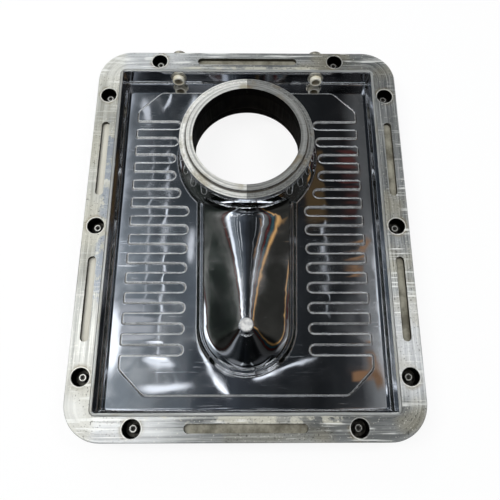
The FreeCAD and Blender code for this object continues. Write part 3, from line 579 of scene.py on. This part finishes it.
track = add(tree, "ShaderNodeCombineXYZ", {0: times(tree, edge, 500.0), 1: times(tree, x, 12.0),
                                           2: times(tree, calc(tree, "ADD", y, z), 12.0)})
milled = noise(tree, track.outputs[0], 1.0, 4.0)
hairlines = use(tree, scratches, {"Place": place, "Fineness": 70.0, "Amount": 0.35})
silver = blend(tree, rise(tree, smear, 0.35, 0.68), paint(198, 200, 203), paint(212, 213, 215))
silver = blend(tree, times(tree, hairlines, 0.5), silver, paint(228, 230, 234))
raw = blend(tree, rise(tree, milled, 0.3, 0.7), paint(142, 144, 142), paint(184, 186, 184))
raw = blend(tree, rise(tree, smear, 0.50, 0.85), raw, paint(140, 136, 120))
colour = blend(tree, polished, raw, silver)
# The bore is painted near black, standing in for the shade and dark reflections inside it.
bore_shade_colour = blend(tree, rise(tree, smear, 0.4, 0.6), paint(9, 8, 7), paint(24, 21, 17))
bore_wall = times(tree, in_bore, calc(tree, "GREATER_THAN", z, 0.004))
colour = blend(tree, bore_wall, colour, bore_shade_colour)
mirror_rough = rise(tree, smear, 0.35, 0.7, 0.025, 0.075)
mirror_rough = calc(tree, "MULTIPLY_ADD", hairlines, 0.10, mirror_rough)
# The rims of the teeth are rounded a little by the wheel, and less well polished.
rounded = add(tree, "ShaderNodeBevel", {"Radius": RIM_R}, samples=12).outputs[0]
plain_face = add(tree, "ShaderNodeNewGeometry").outputs["Normal"]
alike = add(tree, "ShaderNodeVectorMath", {0: rounded, 1: plain_face}, operation="DOT_PRODUCT")
alike = alike.outputs["Value"]
rim_mask = times(tree, rise(tree, z, TRAY_FLOOR + 0.0001, TRAY_FLOOR + 0.0006),
                 rise(tree, z, PLATEAU_TOP + 0.00105, PLATEAU_TOP + 0.0006),
                 rise(tree, alike, 0.9985, 0.985))
mirror_rough = calc(tree, "MULTIPLY_ADD", rim_mask, 0.24, mirror_rough)
# Painted highlight along the rims, brighter towards the left, with painted glints; inside it a
# painted dark reflection line.
rim_highlight = times(tree, rim_mask, rise(tree, alike, 0.9945, 0.974),
              rise(tree, x, 0.08, -0.06, 0.70, 1.0))
glint = rise(tree, noise(tree, place, 75.0, 2.0), 0.36, 0.62)
bright = blend(tree, glint, paint(222, 223, 220), paint(255, 255, 252))
colour = blend(tree, rim_highlight, colour, bright)
rim_dark_reflection = times(tree, rim_mask, calc(tree, "SUBTRACT", 1.0, rim_highlight), 0.45)
colour = blend(tree, rim_dark_reflection, colour, paint(52, 54, 56))
raw_rough = rise(tree, milled, 0.3, 0.7, 0.48, 0.34)
raw_rough = calc(tree, "MULTIPLY_ADD", bore_wall, 0.5, raw_rough)
roughness = calc(tree, "MULTIPLY_ADD", polished, mirror_rough, times(tree, unpolished, raw_rough))
metallic = calc(tree, "SUBTRACT", 1.0, times(tree, unpolished, 0.35))
metallic = calc(tree, "MAXIMUM", metallic, bore_wall)
metallic = calc(tree, "SUBTRACT", metallic, times(tree, rim_highlight, 0.85))
# Hand work has left each tooth slightly domed, and the whole core a little wavy.
wave = noise(tree, place, 17.0, 1.5)
row = calc(tree, "COSINE", times(tree, y, 2 * math.pi / TOOTH_PITCH))
teeth = times(tree, rise(tree, across, 0.112, 0.132), row, rise(tree, y, -0.190, -0.178),
              rise(tree, y, 0.170, 0.158),
              rise(tree, z, TRAY_FLOOR + 0.0010, TRAY_FLOOR + 0.0025))
height = calc(tree, "MULTIPLY_ADD", teeth, -TOOTH_DOME, times(tree, wave, PLATEAU_WAVE))
height = times(tree, height, polished, rise(tree, z, PLATEAU_TOP + 0.0025, PLATEAU_TOP + 0.0005))
height = calc(tree, "MULTIPLY_ADD", times(tree, wave, CORE_WAVE), polished, height)
height = calc(tree, "MULTIPLY_ADD", fine, 0.0000012, height)
height = calc(tree, "MULTIPLY_ADD", hairlines, -0.00001, height)
height = calc(tree, "MULTIPLY_ADD", milled, times(tree, unpolished, 0.00006), height)
surface(tree, colour, roughness, metallic, height, rounded)
finish_with("mould_shell", shell_metal)


# Collar
# Two turned half rings on the neck, faced by hand with an abrasive so that the halves no longer
# match: the left one has slanting marks and is painted bright as sheen, the right one is painted
# greyer as shade and stained browner.

COLLAR_TOP = 0.098
COLLAR_LIP_R = 0.0952
COLLAR_BORE_R = 0.085


def collar_metal(name, tint, stained, marks_turned):
    material = bpy.data.materials.new(name)
    tree = empty_tree(material)
    place = add(tree, "ShaderNodeTexCoord").outputs["Object"]
    axes = add(tree, "ShaderNodeSeparateXYZ", {0: place})
    x, y, z = axes.outputs
    reach = span(tree, x, calc(tree, "SUBTRACT", y, NECK_Y))
    true_normal = add(tree, "ShaderNodeNewGeometry").outputs["True Normal"]
    up = add(tree, "ShaderNodeSeparateXYZ", {0: true_normal}).outputs["Z"]
    level = calc(tree, "GREATER_THAN", up, 0.7)
    upright = calc(tree, "SUBTRACT", 1.0, level)
    # Slanting marks of the abrasive, and turned rings under them.
    laid = add(tree, "ShaderNodeMapping",
               {"Vector": place, "Rotation": (0, 0, math.radians(marks_turned)),
                "Scale": (60.0, 1500.0, 60.0)})
    ground = noise(tree, laid.outputs[0], 1.0, 3.0)
    track = add(tree, "ShaderNodeCombineXYZ", {0: times(tree, reach, 420.0),
                                               1: times(tree, x, 7.0),
                                               2: times(tree, z, 420.0)})
    rings = noise(tree, track.outputs[0], 1.0, 3.0)
    tone = calc(tree, "MULTIPLY_ADD", ground, 0.35, times(tree, rings, 0.65))
    colour = blend(tree, rise(tree, tone, 0.34, 0.64), tint[0], tint[1])
    cloud = noise(tree, place, 30.0, 5.0)
    colour = blend(tree, rise(tree, cloud, 0.50, 0.68), colour, stained)
    dust = noise(tree, place, 480.0, 2.0)
    outer = rise(tree, reach, COLLAR_LIP_R + 0.0013, COLLAR_LIP_R + 0.0033)
    pale = times(tree, outer, rise(tree, dust, 0.50, 0.66, 0.0, 0.55))
    dark = times(tree, outer, rise(tree, dust, 0.46, 0.32, 0.0, 0.50))
    colour = blend(tree, pale, colour, tint[1])
    colour = blend(tree, dark, colour, tint[0])
    # Painted shade in the corner at the foot of the lip, then the outer side, and the bore painted
    # near black as shade.
    lip_foot_shade = times(tree, rise(tree, reach, COLLAR_LIP_R + 0.0043, COLLAR_LIP_R + 0.0006),
                      calc(tree, "LESS_THAN", z, COLLAR_TOP - 0.0035))
    colour = blend(tree, lip_foot_shade, colour, paint(60, 52, 40))
    side = times(tree, upright, calc(tree, "GREATER_THAN", reach, 0.09),
                 calc(tree, "LESS_THAN", z, COLLAR_TOP - 0.0005))
    colour = blend(tree, side, colour, paint(178, 182, 188))
    wall = times(tree, calc(tree, "LESS_THAN", reach, COLLAR_BORE_R + 0.0006),
                 calc(tree, "LESS_THAN", z, COLLAR_TOP - 0.0008))
    colour = blend(tree, wall, colour, paint(12, 11, 9))
    worn = times(tree, use(tree, edge_wear, {"Width": 0.0009, "Amount": 0.7, "Place": place}),
                 calc(tree, "SUBTRACT", 1.0, wall))
    colour = blend(tree, worn, colour, paint(224, 224, 220))
    roughness = rise(tree, ground, 0.3, 0.7, 0.52, 0.38)
    roughness = calc(tree, "MULTIPLY_ADD", side, -0.30, roughness)
    roughness = calc(tree, "MULTIPLY_ADD", wall, 0.5, roughness, clamp=True)
    metallic = calc(tree, "MAXIMUM", calc(tree, "MULTIPLY_ADD", side, 0.35, 0.55), wall)
    marks = calc(tree, "MULTIPLY_ADD", ground, level, times(tree, rings, upright))
    surface(tree, colour, roughness, metallic, times(tree, marks, 0.00004))
    return material


# The halves' light and dark tints are painted sheen and shade on their two grinding directions.
left_metal = collar_metal("ground_collar_left", (paint(160, 161, 157), paint(240, 239, 234)),
                          paint(170, 164, 146), -38.0)
right_metal = collar_metal("ground_collar_right", (paint(84, 85, 83), paint(152, 153, 150)),
                           paint(122, 110, 88), 52.0)
finish_with("collar_half_left", left_metal)
finish_with("collar_half_right", right_metal)


# Bowl pin and nut
# A short turned pin with a dull, wiped end, held from below by a plain hexagon nut.

def turned_steel(name, dark, light, roughness_range):
    material = bpy.data.materials.new(name)
    tree = empty_tree(material)
    place = add(tree, "ShaderNodeTexCoord").outputs["Object"]
    grain = noise(tree, place, 900.0, 3.0)
    cloud = noise(tree, place, 160.0, 4.0)
    colour = blend(tree, rise(tree, cloud, 0.35, 0.65), dark, light)
    worn = use(tree, edge_wear, {"Width": 0.0007, "Amount": 0.8, "Place": place})
    colour = blend(tree, worn, colour, paint(228, 228, 224))
    roughness = rise(tree, cloud, 0.3, 0.7, *roughness_range)
    surface(tree, colour, roughness, 0.7, times(tree, grain, 0.00003))
    return material


pin_metal = turned_steel("wiped_pin_metal", paint(176, 177, 178), paint(216, 216, 214), (0.5, 0.62))
nut_metal = turned_steel("zinc_nut", paint(150, 151, 150), paint(190, 190, 186), (0.32, 0.48))
finish_with("bowl_pin", pin_metal)
finish_with("bowl_pin_nut", nut_metal)


# Vents
# Pale plastic tubes that slide in turned bushes through the rear wall and let the mould breathe.
# Their bores are painted darker and browner, and the bushes carry a film of powder.

VENT_X = 0.1213
VENT_Z = 0.0365
TUBE_BORE_R = 0.00705

bush_metal = turned_steel("dusty_bush", paint(120, 117, 108), paint(178, 173, 158), (0.34, 0.55))
finish_with("vent_bush_left", bush_metal)
finish_with("vent_bush_right", bush_metal)

tube_plastic = bpy.data.materials.new("heat_yellowed_tube")
tree = empty_tree(tube_plastic)
place = add(tree, "ShaderNodeTexCoord").outputs["Object"]
axes = add(tree, "ShaderNodeSeparateXYZ", {0: place})
cloud = noise(tree, place, 120.0, 4.0)
grain = noise(tree, place, 1400.0, 2.0)
cream = blend(tree, rise(tree, cloud, 0.35, 0.68), paint(232, 229, 216), paint(216, 208, 182))
off_x = calc(tree, "SUBTRACT", calc(tree, "ABSOLUTE", axes.outputs["X"]), VENT_X)
off_z = calc(tree, "SUBTRACT", axes.outputs["Z"], VENT_Z)
bored = calc(tree, "LESS_THAN", span(tree, off_x, off_z), TUBE_BORE_R)
cream = blend(tree, times(tree, bored, 0.6), cream, paint(120, 102, 72))
worn = use(tree, edge_wear, {"Width": 0.0008, "Amount": 0.5, "Place": place})
cream = blend(tree, worn, cream, paint(244, 242, 232))
surface(tree, cream, rise(tree, cloud, 0.3, 0.7, 0.38, 0.52), 0.0, times(tree, grain, 0.00002))
finish_with("vent_tube_left", tube_plastic)
finish_with("vent_tube_right", tube_plastic)


# Screws and washers
# Blackened, oily socket screws on dark steel washers. The frame's screws carry a painted
# highlight ring round their sockets, brighter on the left.

SOCKET_EDGE_R = 0.0031
HIGHLIGHT_RING_R = 0.0047


def fastener_steel(name, dark, light, bright, amount, highlight_r=0.0):
    """Dark steel, with a painted highlight ring out to radius highlight_r, brighter on the left,
    where that isn't zero.
    """
    material = bpy.data.materials.new(name)
    tree = empty_tree(material)
    place = add(tree, "ShaderNodeTexCoord").outputs["Object"]
    cloud = noise(tree, place, 210.0, 4.0)
    grain = noise(tree, place, 1500.0, 2.0)
    colour = blend(tree, rise(tree, cloud, 0.36, 0.66), dark, light)
    worn = use(tree, edge_wear, {"Width": 0.0008, "Amount": amount, "Place": place})
    colour = blend(tree, worn, colour, bright)
    metallic = 0.75
    if highlight_r:
        from_middle = screw_distance(tree, place)
        true_normal = add(tree, "ShaderNodeNewGeometry").outputs["True Normal"]
        up = add(tree, "ShaderNodeSeparateXYZ", {0: true_normal}).outputs["Z"]
        x = add(tree, "ShaderNodeSeparateXYZ", {0: place}).outputs["X"]
        ring = times(tree, rise(tree, from_middle, highlight_r + 0.0006, highlight_r - 0.0002),
                     rise(tree, from_middle, SOCKET_EDGE_R - 0.0005, SOCKET_EDGE_R),
                     rise(tree, up, 0.6, 0.9), rise(tree, x, 0.05, -0.05, 0.40, 0.72),
                     rise(tree, cloud, 0.32, 0.52, 0.55, 1.0))
        colour = blend(tree, ring, colour, paint(236, 236, 230))
        metallic = calc(tree, "MULTIPLY_ADD", ring, -0.45, 0.75)
    roughness = rise(tree, cloud, 0.3, 0.7, 0.28, 0.5)
    surface(tree, colour, roughness, metallic, times(tree, grain, 0.00002))
    return material


black_screw = fastener_steel("oiled_black_screw", paint(58, 57, 54), paint(104, 103, 98),
                             paint(220, 220, 214), 1.0)
highlight_ring_screw = fastener_steel("highlight_ring_screw", paint(22, 21, 19), paint(52, 50, 46),
                              paint(90, 88, 82), 0.6, HIGHLIGHT_RING_R)
# The washers are painted dark, deep in their counterbores.
washer_steel = fastener_steel("dark_washer", paint(30, 29, 26), paint(62, 60, 54),
                              paint(120, 118, 110), 0.5)
finish_with("frame_screws", highlight_ring_screw)
finish_with("collar_screws", black_screw)
finish_with("frame_washers", washer_steel)
